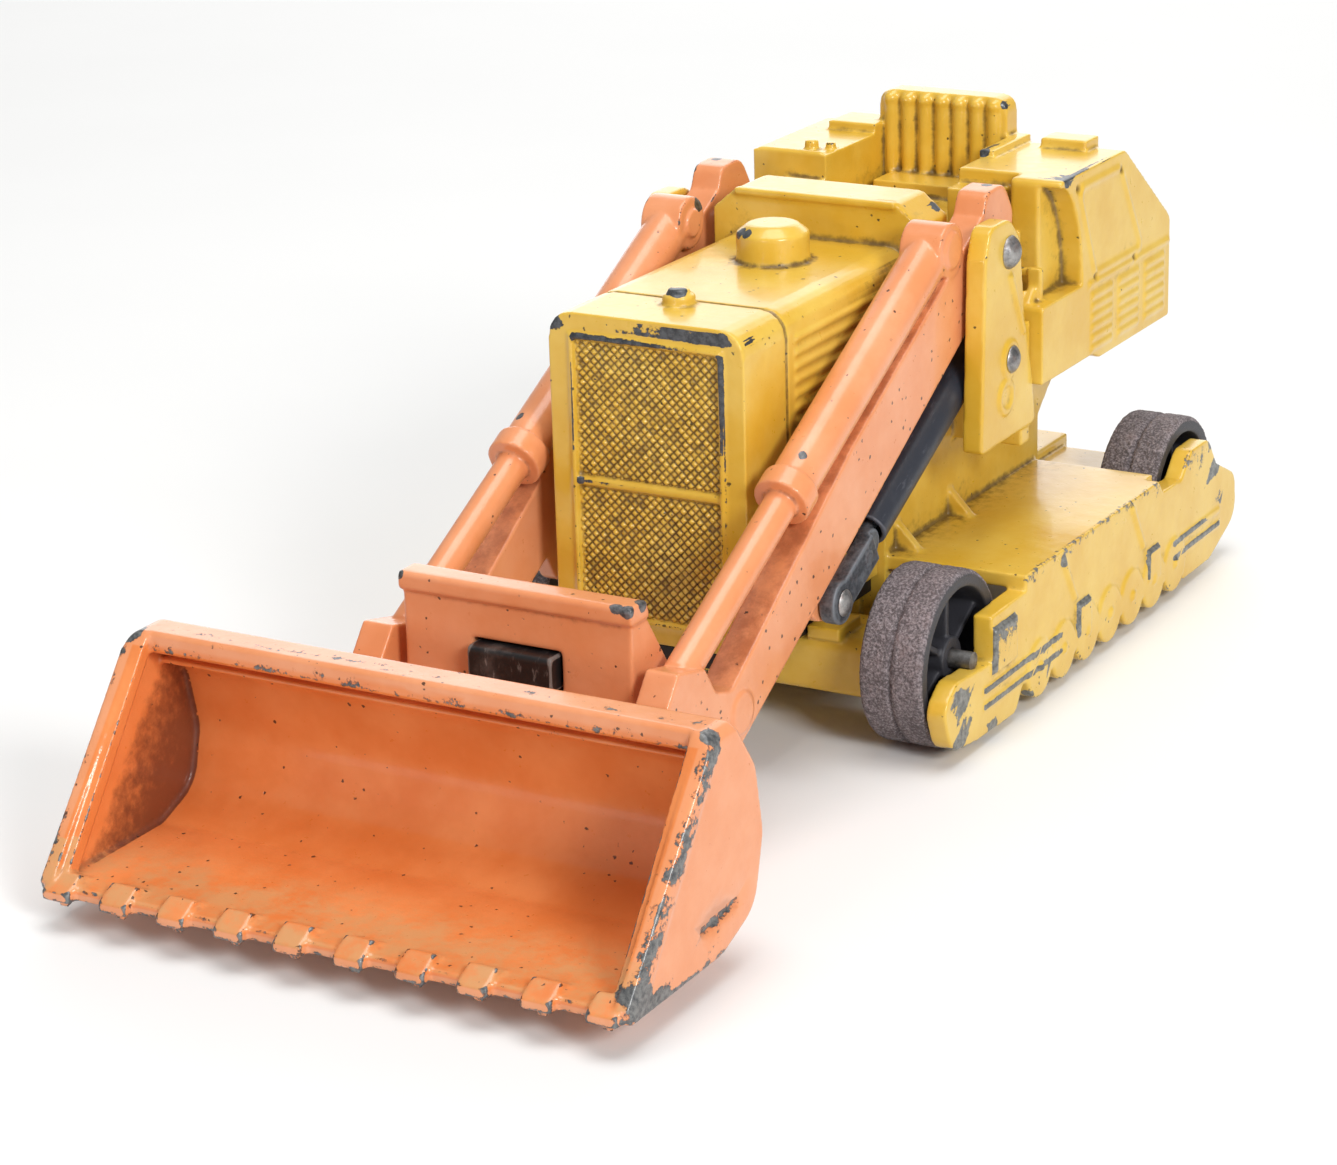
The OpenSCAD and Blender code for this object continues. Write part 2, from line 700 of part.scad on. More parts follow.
module bucket_pin(side) {
  reach = lug_gap + lug_t;
  color(steel)
    on_side(side) {
      across(bucket_pivot, pin_r, arm_in - reach - 0.2, arm_out + reach + 0.2);
      across(bucket_pivot, 1.6, arm_out + reach, arm_out + reach + 0.65);
      across(bucket_pivot, 1.6, arm_in - reach - 0.65, arm_in - reach);
    }
}

module bucket_pin_left() bucket_pin("left");
module bucket_pin_right() bucket_pin("right");

// ---- lift cylinders and rods -----------------------------------------------

// Black plastic tube, open at its lower mouth, hung on the tower.
module lift_cylinder(side) {
  color(black)
    on_side(side)
      difference() {
        union() {
          translate([cyl_x, cyl_pivot[0], cyl_pivot[1]]) rotate([90 + cyl_angle, 0, 0])
            cylinder(h = cyl_length, r = cyl_r);
          across(cyl_pivot, 2.3, cyl_x - 1.9, cyl_x + 1.9);
        }
        translate([cyl_x, cyl_pivot[0], cyl_pivot[1]]) rotate([90 + cyl_angle, 0, 0])
          translate([0, 0, 4]) cylinder(h = cyl_length, r = cyl_bore_r);
        across(cyl_pivot, rivet_r + fit, cyl_x - 4, cyl_x + 4);
      }
}

module lift_cylinder_left() lift_cylinder("left");
module lift_cylinder_right() lift_cylinder("right");

// Grey metal link whose rod slides in the tube.
module lift_rod(side) {
  link_in = arm_in + 2.2;
  link_out = arm_out + 0.3;
  color(grey)
    on_side(side)
      difference() {
        union() {
          translate([0, rod_pivot[0], rod_pivot[1]]) rotate([cyl_angle, 0, 0]) {
            across([0, 0], 2.3, link_in, link_out);
            block([link_in, 0, -1.7], [link_out, 8.4, 1.7]);
            across([6.4, 0.2], 0.9, link_out - 0.2, link_out + 0.15);
            across([8.5, 0.3], 1.5, cyl_x - 1.0, link_out - 0.4);
            translate([cyl_x, 8.4, 0]) rotate([-90, 0, 0]) cylinder(h = rod_length - 8.4, r = rod_r);
          }
        }
        across(rod_pivot, rivet_r + fit, link_in - 3, link_out + 3);
      }
}

module lift_rod_left() lift_rod("left");
module lift_rod_right() lift_rod("right");

// ---- rivets ----------------------------------------------------------------

// Arc of a dome of radius r and height h, from its rim to its crown at x.
function dome(x, r, h) =
  let (ball = (r * r + h * h) / (2 * h), sweep = asin(r / ball))
  [for (i = [0:6]) [ball * sin(sweep * (1 - i / 6)), x + h - ball + ball * cos(sweep * (1 - i / 6))]];

// Rivet turned about X: peened collar at x_in, shaft, and a domed head standing on x_face.
module rivet(at, x_in, x_face, head_r, head_h) {
  collar_t = 0.55;
  translate([0, at[0], at[1]]) rotate([90, 0, 90])
    rotate_extrude()
      polygon(concat([[0, x_in], [1.5, x_in], [1.5, x_in + collar_t], [rivet_r, x_in + collar_t],
                      [rivet_r, x_face]], dome(x_face, head_r, head_h)));
}

module arm_rivet(side) {
  color(steel) on_side(side) rivet(arm_pivot, arm_in - 0.8, tower_out, 1.9, 1.2);
}

module cylinder_rivet(side) {
  color(steel) on_side(side) rivet(cyl_pivot, cyl_x - 2.8, tower_out + 0.35, 1.6, 0.8);
}

module rod_rivet(side) {
  color(steel) on_side(side) rivet(rod_pivot, arm_in - 0.6, arm_out + 0.35, 1.5, 0.7);
}

module arm_rivet_left() arm_rivet("left");
module arm_rivet_right() arm_rivet("right");
module cylinder_rivet_left() cylinder_rivet("left");
module cylinder_rivet_right() cylinder_rivet("right");
module rod_rivet_left() rod_rivet("left");
module rod_rivet_right() rod_rivet("right");

upper_body();
chassis();
base_plate();
base_rivets();
front_axle();
rear_axle();
wheel_front_left();
wheel_front_right();
wheel_rear_left();
wheel_rear_right();
arm_left();
arm_right();
arm_crossbox();
tilt_catch();
catch_spring();
bucket();
bucket_pin_left();
bucket_pin_right();
lift_cylinder_left();
lift_cylinder_right();
lift_rod_left();
lift_rod_right();
arm_rivet_left();
arm_rivet_right();
cylinder_rivet_left();
cylinder_rivet_right();
rod_rivet_left();
rod_rivet_right();
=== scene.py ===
import math

import bmesh
import bpy
import numpy as np
from mathutils import Matrix, Vector


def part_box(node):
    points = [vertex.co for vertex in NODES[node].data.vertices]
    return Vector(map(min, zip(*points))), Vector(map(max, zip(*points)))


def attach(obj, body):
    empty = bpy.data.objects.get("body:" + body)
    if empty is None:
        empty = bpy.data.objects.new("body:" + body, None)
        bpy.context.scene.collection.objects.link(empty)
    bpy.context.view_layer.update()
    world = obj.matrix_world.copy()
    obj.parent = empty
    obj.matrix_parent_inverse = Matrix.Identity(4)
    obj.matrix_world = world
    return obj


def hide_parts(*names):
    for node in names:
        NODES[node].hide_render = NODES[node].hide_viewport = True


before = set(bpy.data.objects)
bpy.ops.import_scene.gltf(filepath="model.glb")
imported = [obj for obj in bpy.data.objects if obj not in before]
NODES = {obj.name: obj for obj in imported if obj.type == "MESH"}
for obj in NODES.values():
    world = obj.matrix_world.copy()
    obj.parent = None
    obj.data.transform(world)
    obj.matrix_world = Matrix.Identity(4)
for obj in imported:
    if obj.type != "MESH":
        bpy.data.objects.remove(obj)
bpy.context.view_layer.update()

MM = 0.001
# Triangles that one skin may keep
FACE_LIMIT = 190000
# Radius in millimetres over which a corner counts as sharp
EDGE_RADIUS = 0.35


# ---------------------------------------------------------------- solids, all in millimetres

def add_box(bm, low, high):
    """Closed box between two corners."""
    size = [h - l for l, h in zip(low, high)]
    middle = [(l + h) / 2 for l, h in zip(low, high)]
    place = Matrix.Translation(middle) @ Matrix.Diagonal((*size, 1))
    return bmesh.ops.create_cube(bm, size=1, matrix=place)["verts"]


def add_prism(bm, outline, low, high):
    """Closed prism: an outline in Y and Z, carried along X from low to high."""
    ends = [[bm.verts.new((x, y, z)) for y, z in outline] for x in (low, high)]
    count = len(outline)
    for i in range(count):
        j = (i + 1) % count
        bm.faces.new((ends[0][i], ends[0][j], ends[1][j], ends[1][i]))
    bm.faces.new(ends[0][::-1])
    bm.faces.new(ends[1])
    return ends[0] + ends[1]


def add_rod(bm, start, end, radius, end_radius=None, sides=24):
    """Closed round bar between two points."""
    a, b = Vector(start), Vector(end)
    turn = (b - a).to_track_quat("Z", "Y").to_matrix().to_4x4()
    place = Matrix.Translation((a + b) / 2) @ turn
    return bmesh.ops.create_cone(
        bm, cap_ends=True, segments=sides, radius1=radius,
        radius2=radius if end_radius is None else end_radius,
        depth=(b - a).length, matrix=place)["verts"]


def add_ball(bm, centre, radii, sides=16):
    """Closed ellipsoid."""
    place = Matrix.Translation(centre) @ Matrix.Diagonal((*radii, 1))
    return bmesh.ops.create_uvsphere(
        bm, u_segments=sides, v_segments=sides // 2, radius=1, matrix=place)["verts"]


def nodes_mesh(names):
    """The CAD nodes' meshes as one bmesh in millimetres."""
    bm = bmesh.new()
    for name in names:
        bm.from_mesh(NODES[name].data)
    bmesh.ops.scale(bm, vec=(1 / MM,) * 3, verts=bm.verts)
    return bm


# ---------------------------------------------------------------- thick enamel over a casting

def points_of(mesh):
    co = np.empty(len(mesh.vertices) * 3, np.float32)
    mesh.vertices.foreach_get("co", co)
    return co.reshape(-1, 3)


def edges_of(mesh):
    pairs = np.empty(len(mesh.edges) * 2, np.int32)
    mesh.edges.foreach_get("vertices", pairs)
    return pairs.reshape(-1, 2)


def normals_of(mesh):
    normals = np.empty(len(mesh.vertices) * 3, np.float32)
    mesh.vertex_normals.foreach_get("vector", normals)
    return normals.reshape(-1, 3)


def relaxed(values, pairs, times):
    """Each value becomes the mean of its neighbours, a number of times."""
    a, b = pairs[:, 0], pairs[:, 1]
    count = len(values)
    degree = np.bincount(pairs.ravel(), minlength=count)[:, None]
    values = values.astype(np.float64).reshape(count, -1)
    for _ in range(times):
        total = np.empty_like(values)
        for k in range(values.shape[1]):
            total[:, k] = (np.bincount(a, values[b, k], count)
                           + np.bincount(b, values[a, k], count))
        values = total / np.maximum(degree, 1)
    return values


def set_number(mesh, name, values):
    attribute = mesh.attributes.get(name) or mesh.attributes.new(name, "FLOAT", "POINT")
    attribute.data.foreach_set("value", values.astype(np.float32))


def with_modifier(obj, kind, **settings):
    """The object's mesh after one modifier."""
    modifier = obj.modifiers.new(kind, kind)
    for key, value in settings.items():
        setattr(modifier, key, value)
    graph = bpy.context.evaluated_depsgraph_get()
    made = bpy.data.meshes.new_from_object(obj.evaluated_get(graph))
    old = obj.data
    obj.modifiers.clear()
    obj.data = made
    bpy.data.meshes.remove(old)
    return made


def enamelled(name, bm, voxel, soften, rough=None, reach=0.8):
    """Joins every solid of bm into one skin with soft corners.

    The numbers edge and cavity say how sharp and how hollow each point is.
    """
    mesh = bpy.data.meshes.new(name)
    bm.to_mesh(mesh)
    bm.free()
    obj = bpy.data.objects.new(name, mesh)
    bpy.context.scene.collection.objects.link(obj)
    mesh = with_modifier(obj, "REMESH", mode="VOXEL", voxel_size=voxel, adaptivity=0)
    pairs = edges_of(mesh)
    co = relaxed(points_of(mesh), pairs, soften)
    mesh.vertices.foreach_set("co", co.astype(np.float32).ravel())
    mesh.update()
    normals = normals_of(mesh)
    near_rounds, far_rounds = (
        max(1, round((radius / voxel) ** 2)) for radius in (EDGE_RADIUS, reach))
    near = relaxed(co, pairs, near_rounds)
    far = relaxed(near, pairs, far_rounds - near_rounds)
    fine = relaxed(((co - near) * normals).sum(1), pairs, 1)[:, 0]
    fine = fine / (voxel * math.sqrt(near_rounds))
    broad = ((co - far) * normals).sum(1)
    set_number(mesh, "edge", np.clip((fine - 0.05) * 9.5, 0, 1))
    set_number(mesh, "cavity", np.clip(-broad * 2.7 / reach, 0, 1))
    if rough is not None:
        co = co + normals * rough(co, normals)[:, None]
        mesh.vertices.foreach_set("co", co.astype(np.float32).ravel())
    triangles = 2 * len(mesh.polygons)
    if triangles > FACE_LIMIT:
        mesh = with_modifier(obj, "DECIMATE", ratio=FACE_LIMIT / triangles)
    mesh.transform(Matrix.Diagonal((MM, MM, MM, 1)))
    for polygon in mesh.polygons:
        polygon.use_smooth = True
    mesh.name = name
    return obj


# ---------------------------------------------------------------- materials

class Graph:
    """Short names for the shader nodes of one material."""

    def __init__(self, name):
        self.material = bpy.data.materials.new(name)
        self.material.use_nodes = True
        self.tree = self.material.node_tree
        self.tree.nodes.clear()
        self.place = self.new("ShaderNodeTexCoord").outputs["Object"]
        self.shader = self.new("ShaderNodeBsdfPrincipled")
        self.link(self.shader.outputs[0], self.new("ShaderNodeOutputMaterial").inputs[0])

    def new(self, kind):
        return self.tree.nodes.new(kind)

    def link(self, a, b):
        self.tree.links.new(a, b)

    def put(self, socket, value):
        if isinstance(value, bpy.types.NodeSocket):
            self.link(value, socket)
        else:
            socket.default_value = value

    def math(self, kind, *values):
        node = self.new("ShaderNodeMath")
        node.operation = kind
        for socket, value in zip(node.inputs, values):
            self.put(socket, value)
        return node.outputs[0]

    def sum(self, *values):
        total = values[0]
        for value in values[1:]:
            total = self.math("ADD", total, value)
        return total

    def times(self, a, b):
        return self.math("MULTIPLY", a, b)

    def number(self, name):
        node = self.new("ShaderNodeAttribute")
        node.attribute_name = name
        return node.outputs["Fac"]

    def around(self, value, gain):
        """Value moved from 0..1 to lie about 0, and scaled."""
        return self.times(self.math("SUBTRACT", value, 0.5), gain)

    def step(self, value, low, high):
        """0 below low, 1 above high, and smooth between."""
        node = self.new("ShaderNodeMapRange")
        node.interpolation_type = "SMOOTHSTEP"
        for key, item in (("Value", value), ("From Min", low), ("From Max", high)):
            self.put(node.inputs[key], item)
        return node.outputs[0]

    def stretched(self, scale, offset=(0, 0, 0), turn=(0, 0, 0)):
        node = self.new("ShaderNodeMapping")
        self.link(self.place, node.inputs["Vector"])
        node.inputs["Scale"].default_value = scale
        node.inputs["Location"].default_value = offset
        node.inputs["Rotation"].default_value = turn
        return node.outputs[0]

    def noise(self, size_mm, detail=3.0, rough=0.55, seed=0.0, place=None):
        """Noise from 0 to 1 whose features are about size_mm across."""
        node = self.new("ShaderNodeTexNoise")
        node.noise_dimensions = "4D"
        self.link(place or self.place, node.inputs["Vector"])
        node.inputs["Scale"].default_value = 1.0 / (size_mm * MM)
        node.inputs["Detail"].default_value = detail
        node.inputs["Roughness"].default_value = rough
        node.inputs["W"].default_value = seed
        return node.outputs["Fac"]

    def cells(self, size_mm, randomness=1.0, place=None):
        node = self.new("ShaderNodeTexVoronoi")
        self.link(place or self.place, node.inputs["Vector"])
        node.inputs["Scale"].default_value = 1.0 / (size_mm * MM)
        node.inputs["Randomness"].default_value = randomness
        return node.outputs["Distance"], node.outputs["Color"]

    def mix(self, share, a, b):
        node = self.new("ShaderNodeMix")
        node.data_type = "RGBA"
        self.put(node.inputs[0], share)
        self.put(node.inputs[6], a)
        self.put(node.inputs[7], b)
        return node.outputs[2]

    def blend(self, share, a, b):
        node = self.new("ShaderNodeMix")
        self.put(node.inputs[0], share)
        self.put(node.inputs[2], a)
        self.put(node.inputs[3], b)
        return node.outputs[0]

    def bump(self, height, depth_mm):
        node = self.new("ShaderNodeBump")
        node.inputs["Strength"].default_value = 1.0
        node.inputs["Distance"].default_value = depth_mm * MM
        self.put(node.inputs["Height"], height)
        self.link(node.outputs[0], self.shader.inputs["Normal"])

    def set(self, **values):
        names = {"color": "Base Color", "metal": "Metallic", "rough": "Roughness",
                 "coat": "Coat Weight", "coat_rough": "Coat Roughness"}
        for key, value in values.items():
            self.put(self.shader.inputs[names[key]], value)


def rgb(r, g, b):
    """Display colour from 0 to 255 as a linear colour."""
    channels = (c / 255 for c in (r, g, b))
    return (*[((c + 0.055) / 1.055) ** 2.4 if c > 0.04 else c / 12.92 for c in channels], 1.0)


SOOT = rgb(30, 25, 20)


def enamel(name, bright, deep, grime, metal, chips, specks, dirt, dots, dust=None, inner=None):
    """Glossy enamel with chipped edges, dirt in its hollows and small dark specks.

    metal holds the dark and light tones under the chips. dust is laid where the number dusty says,
    as real dust and on the arms also as painted shade, and inner holds the bright and deep tones
    where the number inside says.
    """
    g = Graph(name)
    edge, cavity, wear = (g.number(n) for n in ("edge", "cavity", "wear"))
    stain, bare = g.number("stain"), g.number("bare")
    cloud = g.noise(9, 4, 0.6)
    fine = g.noise(1.1, 5, 0.65, 3.1)
    small = g.noise(0.34, 3, 0.6, 7.7)
    paint = g.mix(g.step(cloud, 0.3, 0.72), deep, bright)
    shade, stain_and_shade_tone = deep, rgb(76, 50, 18)
    if inner is not None:
        lining = g.mix(g.step(cloud, 0.3, 0.72), inner[1], inner[0])
        paint = g.mix(g.number("inside"), paint, lining)
        shade, stain_and_shade_tone = g.mix(g.number("inside"), deep, inner[1]), rgb(84, 34, 22)
    faded = g.step(g.noise(2.6, 4, 0.6, 5.0), 0.5, 0.8)
    paint = g.mix(g.times(faded, 0.35), paint, shade)
    if dust is not None:
        patchy = g.step(g.noise(4.5, 5, 0.7, 9.0), 0.36, 0.62)
        paint = g.mix(g.times(patchy, g.number("dusty")), paint, dust)
    # Dirt gathers in the hollows.
    dirty = g.times(g.step(g.sum(cavity, g.around(fine, 1.1)), 0.20, 0.85), dirt)
    paint = g.mix(dirty, paint, grime)
    # Darkened where real stains are, and with painted shade on the hood sides under the arms, in
    # the bucket's left cheek and in the grille's pits.
    dark = g.step(g.sum(stain, g.around(fine, 0.8)), 0.3, 0.95)
    paint = g.mix(g.times(dark, 0.85), paint, stain_and_shade_tone)
    # Small dark specks where the enamel is pitted.
    near, tint = g.cells(0.85)
    rare = g.new("ShaderNodeSeparateColor")
    g.link(tint, rare.inputs[0])
    limit = 0.95 - 0.12 * specks
    pick = g.sum(rare.outputs[0], g.around(cloud, 0.4), g.times(cavity, 0.25))
    pick = g.step(pick, limit, limit + 0.03)
    size = g.times(rare.outputs[1], -0.2)
    outside = g.step(g.sum(near, g.around(small, 0.7), size), -0.02, 0.07)
    dot = g.times(g.math("SUBTRACT", 1.0, outside), pick)
    # A broken dark line runs along the sharp edges.
    broken = g.around(g.noise(4.0, 3, 0.6, 11.0), 1.2)
    line = g.sum(g.times(edge, 0.6), g.around(small, 1.5), broken, g.around(wear, 0.5))
    line = g.step(line, 1.02 - 0.5 * dots, 1.10 - 0.5 * dots)
    line = g.times(line, g.step(edge, 0.25, 0.6))
    paint = g.mix(g.times(g.math("MAXIMUM", dot, line), 0.85), paint, SOOT)
    # Chips follow the sharp edges and grow where the piece wears.
    ragged = g.sum(g.around(fine, 1.5), g.around(g.noise(3.2, 3, 0.6, 1.7), 1.6))
    reach = g.sum(g.times(edge, 0.62), ragged, g.around(wear, 1.5))
    reach = g.times(reach, g.step(g.sum(edge, g.times(wear, 0.3)), 0.2, 0.6))
    low = 1.2 - 0.75 * chips
    placed = g.sum(g.times(bare, 2.0), g.around(fine, 1.9), g.around(small, 0.7), low - 0.52)
    reach = g.math("MAXIMUM", reach, placed)
    chip = g.step(reach, low, low + 0.06)
    rim = g.step(reach, low - 0.10, low + 0.02)
    metal = g.mix(g.step(g.noise(0.8, 4, 0.7, 2.2), 0.35, 0.65), *metal)
    paint = g.mix(g.times(rim, 0.5), paint, grime)
    color = g.mix(chip, paint, metal)
    rough = g.sum(0.22, g.times(fine, 0.16), g.times(dirty, 0.3), g.times(dark, 0.2))
    g.set(color=color, metal=g.times(chip, 0.5), rough=g.blend(chip, rough, 0.48),
          coat=0.3, coat_rough=0.10)
    film = g.times(g.math("SUBTRACT", 1.0, chip), 0.06)
    ripple = g.times(g.noise(1.7, 2, 0.5, 4.4), 0.05)
    g.bump(g.sum(film, ripple, g.times(small, 0.012), g.times(dot, -0.03)), 1.0)
    return g.material


def plastic(name, dark, light, rough=0.42, scuffs=0.5, dust=0.2):
    """Black moulded plastic, scuffed along its length and dusty in places."""
    g = Graph(name)
    edge = g.number("edge")
    lengthwise = g.stretched((1.0, 0.12, 0.25), turn=(math.radians(27), 0, 0))
    streak = g.noise(0.5, 4, 0.7, 1.0, lengthwise)
    cloud = g.noise(3.0, 5, 0.65, 2.0)
    mark = g.times(g.step(streak, 0.56, 0.74), scuffs)
    mark = g.sum(mark, g.times(g.step(g.sum(edge, g.times(cloud, 0.5)), 0.6, 1.1), scuffs * 0.8))
    powder = g.times(g.step(cloud, 0.5, 0.78), dust)
    color = g.mix(g.math("MINIMUM", g.sum(mark, powder), 1.0), dark, light)
    g.set(color=color, rough=g.sum(rough, g.times(cloud, 0.15), g.times(mark, 0.15)), metal=0.0)
    g.bump(g.sum(g.times(streak, 0.02), g.times(g.noise(0.4, 3, 0.6, 5.0), 0.02)), 1.0)
    return g.material


def tyre(name):
    """Black plastic wheel whose tread is ground rough and grey."""
    g = Graph(name)
    tread, edge, cavity = g.number("tread"), g.number("edge"), g.number("cavity")
    grain = g.noise(0.26, 5, 0.7, 1.0)
    patch = g.noise(2.4, 4, 0.6, 2.0)
    worn = g.step(g.sum(tread, g.around(grain, 0.7), g.around(patch, 0.6)), 0.35, 0.85)
    ground = g.step(g.sum(grain, g.around(patch, 0.3)), 0.40, 0.64)
    light = g.mix(ground, rgb(90, 82, 84), rgb(158, 148, 151))
    light = g.mix(g.times(g.step(patch, 0.5, 0.7), 0.4), light, rgb(104, 80, 76))
    color = g.mix(worn, rgb(56, 56, 62), light)
    color = g.mix(g.times(cavity, 0.75), color, rgb(14, 13, 14))
    g.set(color=color, rough=g.sum(0.5, g.times(worn, 0.35)), metal=0.0)
    g.bump(g.sum(g.times(grain, g.sum(0.05, g.times(tread, 0.22))), g.times(patch, 0.04)), 1.0)
    return g.material


def bare_metal(name, dark, light, rust=0.0, rough=0.42, metal=0.85):
    """Tarnished metal, with rust in its hollows."""
    g = Graph(name)
    edge, cavity = g.number("edge"), g.number("cavity")
    cloud = g.noise(1.6, 5, 0.65, 1.0)
    fine = g.noise(0.35, 4, 0.7, 2.0)
    tone = g.sum(g.times(cloud, 0.7), g.times(fine, 0.3), g.times(edge, 0.12))
    color = g.mix(g.step(tone, 0.36, 0.66), dark, light)
    color = g.mix(g.times(cavity, 0.6), color, rgb(26, 24, 24))
    red = g.times(g.step(g.noise(1.2, 4, 0.6, 6.0), 0.5, 0.66), rust)
    color = g.mix(red, color, rgb(112, 66, 44))
    g.set(color=color, metal=g.sum(metal, g.times(red, -0.6)),
          rough=g.sum(rough, g.times(fine, 0.2)))
    g.bump(g.sum(g.times(fine, 0.03), g.times(cloud, 0.05)), 1.0)
    return g.material


YELLOW = rgb(224, 188, 82), rgb(213, 168, 46), rgb(84, 60, 20)
ORANGE = rgb(230, 156, 112), rgb(222, 139, 88), rgb(104, 46, 22)
body_paint = enamel(
    "yellow_body_paint", *YELLOW, metal=(rgb(54, 58, 62), rgb(92, 96, 100)),
    chips=0.42, specks=0.8, dirt=0.85, dots=0.6)
chassis_paint = enamel(
    "yellow_chassis_paint", *YELLOW, metal=(rgb(92, 94, 92), rgb(140, 140, 136)),
    chips=0.46, specks=0.7, dirt=0.85, dots=0.5)
# The arms' dust tone also serves as painted shade on the plate tops under the rams.
arm_paint = enamel(
    "orange_arm_paint", *ORANGE, metal=(rgb(66, 68, 70), rgb(118, 118, 120)),
    chips=0.42, specks=0.8, dirt=0.8, dots=0.5, dust=rgb(172, 100, 64))
bucket_paint = enamel(
    "orange_bucket_paint", *ORANGE, metal=(rgb(78, 80, 82), rgb(132, 132, 130)),
    chips=0.48, specks=0.9, dirt=0.5, dots=0.85,
    dust=rgb(206, 150, 98), inner=(rgb(230, 140, 80), rgb(218, 120, 58)))
wheel_black = tyre("wheel_plastic")
cylinder_black = plastic("cylinder_plastic", rgb(44, 47, 56), rgb(112, 112, 120), 0.34, 0.5, 0.12)
base_black = plastic("base_plastic", rgb(22, 22, 24), rgb(70, 66, 62), 0.5, 0.2, 0.3)
catch_plastic = plastic("catch_plastic", rgb(22, 21, 22), rgb(132, 122, 116), 0.36, 0.8, 0.3)
link_metal = bare_metal("link_metal", rgb(60, 63, 68), rgb(120, 124, 130), 0.12, 0.45, 0.55)
rivet_metal = bare_metal("rivet_metal", rgb(98, 98, 100), rgb(176, 174, 172), 0.35, 0.32, 0.9)
axle_metal = bare_metal("axle_metal", rgb(96, 94, 92), rgb(150, 148, 146), 0.2)


# ---------------------------------------------------------------- castings

def finish_piece(obj, body, material, slot, *nodes):
    """Paints a skin, binds it to its body and puts it in place of its CAD nodes."""
    obj.data.materials.clear()
    obj.data.materials.append(material)
    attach(obj, body)
    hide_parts(*nodes)
    return obj


def paint_numbers(obj, **rules):
    """Stores each rule's value at every point, from its place in millimetres and its normal."""
    mesh = obj.data
    co = points_of(mesh) / MM
    normals = normals_of(mesh)
    for name, rule in rules.items():
        set_number(mesh, name, np.clip(rule(co, normals), 0, 1))


def near_band(values, low, high, soft):
    """1 between low and high, falling to 0 over a width soft."""
    return np.clip(1 - np.maximum(low - values, values - high) / soft, 0, 1)


def spots(p, *places):
    """1 at the middle of each place (x, y, z, radius), falling to 0 at its rim."""
    value = np.zeros(len(p))
    for x, y, z, radius in places:
        value = np.maximum(value, 1 - ((p - (x, y, z))**2).sum(1) / radius**2)
    return value


def nothing(p, n):
    return np.zeros(len(p))


def across(p):
    """Distance of each point from the centre plane."""
    return np.abs(p[:, 0])


def along(p, a, b, radius):
    """1 on the line from a to b in Y and Z, falling to 0 at a radius."""
    a, b = np.array(a), np.array(b)
    q = p[:, 1:]
    t = np.clip((q - a) @ (b - a) / ((b - a) @ (b - a)), 0, 1)
    return np.clip(1 - np.linalg.norm(q - (a + t[:, None] * (b - a)), axis=1) / radius, 0, 1)


# Dents at the corners of the right tank's door, as Y and Z, and the X that the door stands beyond
DOOR_DENTS = ((43.4, 50.2), (55.2, 49.9), (48.3, 39.3), (59.2, 38.9))
DOOR_X = 21


def from_dent(p, dent):
    """Distance of each point from a dent, seen along X."""
    return np.hypot(p[:, 1] - dent[0], p[:, 2] - dent[1])


def dented(p, n):
    """Presses four small dents into the corners of the right tank's door."""
    depth = np.maximum.reduce([np.exp(-from_dent(p, dent)**2 / 0.2) for dent in DOOR_DENTS])
    return -0.35 * depth * (p[:, 0] > DOOR_X)


def body_details(bm):
    """Small fittings cast with the upper body."""
    for i in range(7):
        add_ball(bm, ((i - 3) * 2.15, 54.15, 56.0), (0.85, 0.8, 0.8))
    # Lever quadrant on the ledge between the right tower and the tank.
    add_box(bm, (18.6, 36.6, 38.8), (20.2, 37.6, 42.6))
    add_box(bm, (15.9, 36.9, 41.6), (19.0, 37.6, 42.5))
    add_box(bm, (15.9, 36.4, 38.8), (16.9, 37.6, 42.0))
    add_box(bm, (17.0, 34.6, 38.8), (18.4, 36.0, 40.4))
    add_prism(bm, [(34.4, 38.8), (36.8, 38.8), (36.8, 41.0)], 18.7, 19.7)
    # Beads along the consoles and a lip on the cowl.
    add_rod(bm, (9.0, 42.6, 50.1), (13.8, 42.6, 50.1), 0.5)
    add_rod(bm, (-16.0, 40.1, 52.1), (-8.0, 40.1, 52.1), 0.45)
    add_box(bm, (-9.6, 22.2, 51.3), (9.6, 23.2, 52.1))


bm = nodes_mesh(["upper_body"])
body_details(bm)
body_skin = enamelled("upper_body_skin", bm, 0.2, 2, rough=dented, reach=1.2)
# Chips on the hood, cowl and tank: x, y, z and radius
HOOD_CHIPS = (
    (-10.9, -13.9, 46.3, 1.5), (-7.6, -14.6, 46.0, 0.8), (8.8, -14.3, 46.2, 0.9),
    (10.9, -12.6, 45.8, 0.7), (-7.7, -14.8, 44.8, 0.9), (-6.6, -14.8, 44.8, 0.8),
    (-1.2, -14.8, 44.8, 0.9), (8.6, -14.8, 44.2, 0.7), (8.6, -14.8, 39.6, 0.6),
    (8.6, -14.8, 38.7, 0.6), (-8.5, -14.8, 38.6, 0.6), (-2.4, -14.5, 29.5, 0.5),
    (4.3, -14.5, 29.5, 0.5), (-7.9, -14.5, 29.6, 0.5), (-8.6, -14.8, 21.4, 0.5),
    (10.9, -12.4, 21.6, 1.3), (10.8, -13.2, 19.6, 0.9), (0.4, -8.0, 49.1, 1.2),
    (-0.7, -8.2, 49.2, 1.1), (-2.6, 10.2, 50.6, 1.0), (-1.4, 9.6, 50.7, 0.8),
    (12.4, 25.0, 50.8, 0.9), (11.4, 28.6, 50.6, 0.8), (21.4, 40.4, 51.8, 1.1),
    (21.3, 41.4, 51.9, 0.9), (21.4, 46.4, 51.9, 1.0), (21.5, 51.6, 51.9, 0.6),
    (7.6, 54.6, 56.2, 0.6), (8.6, 47.2, 52.4, 0.8))


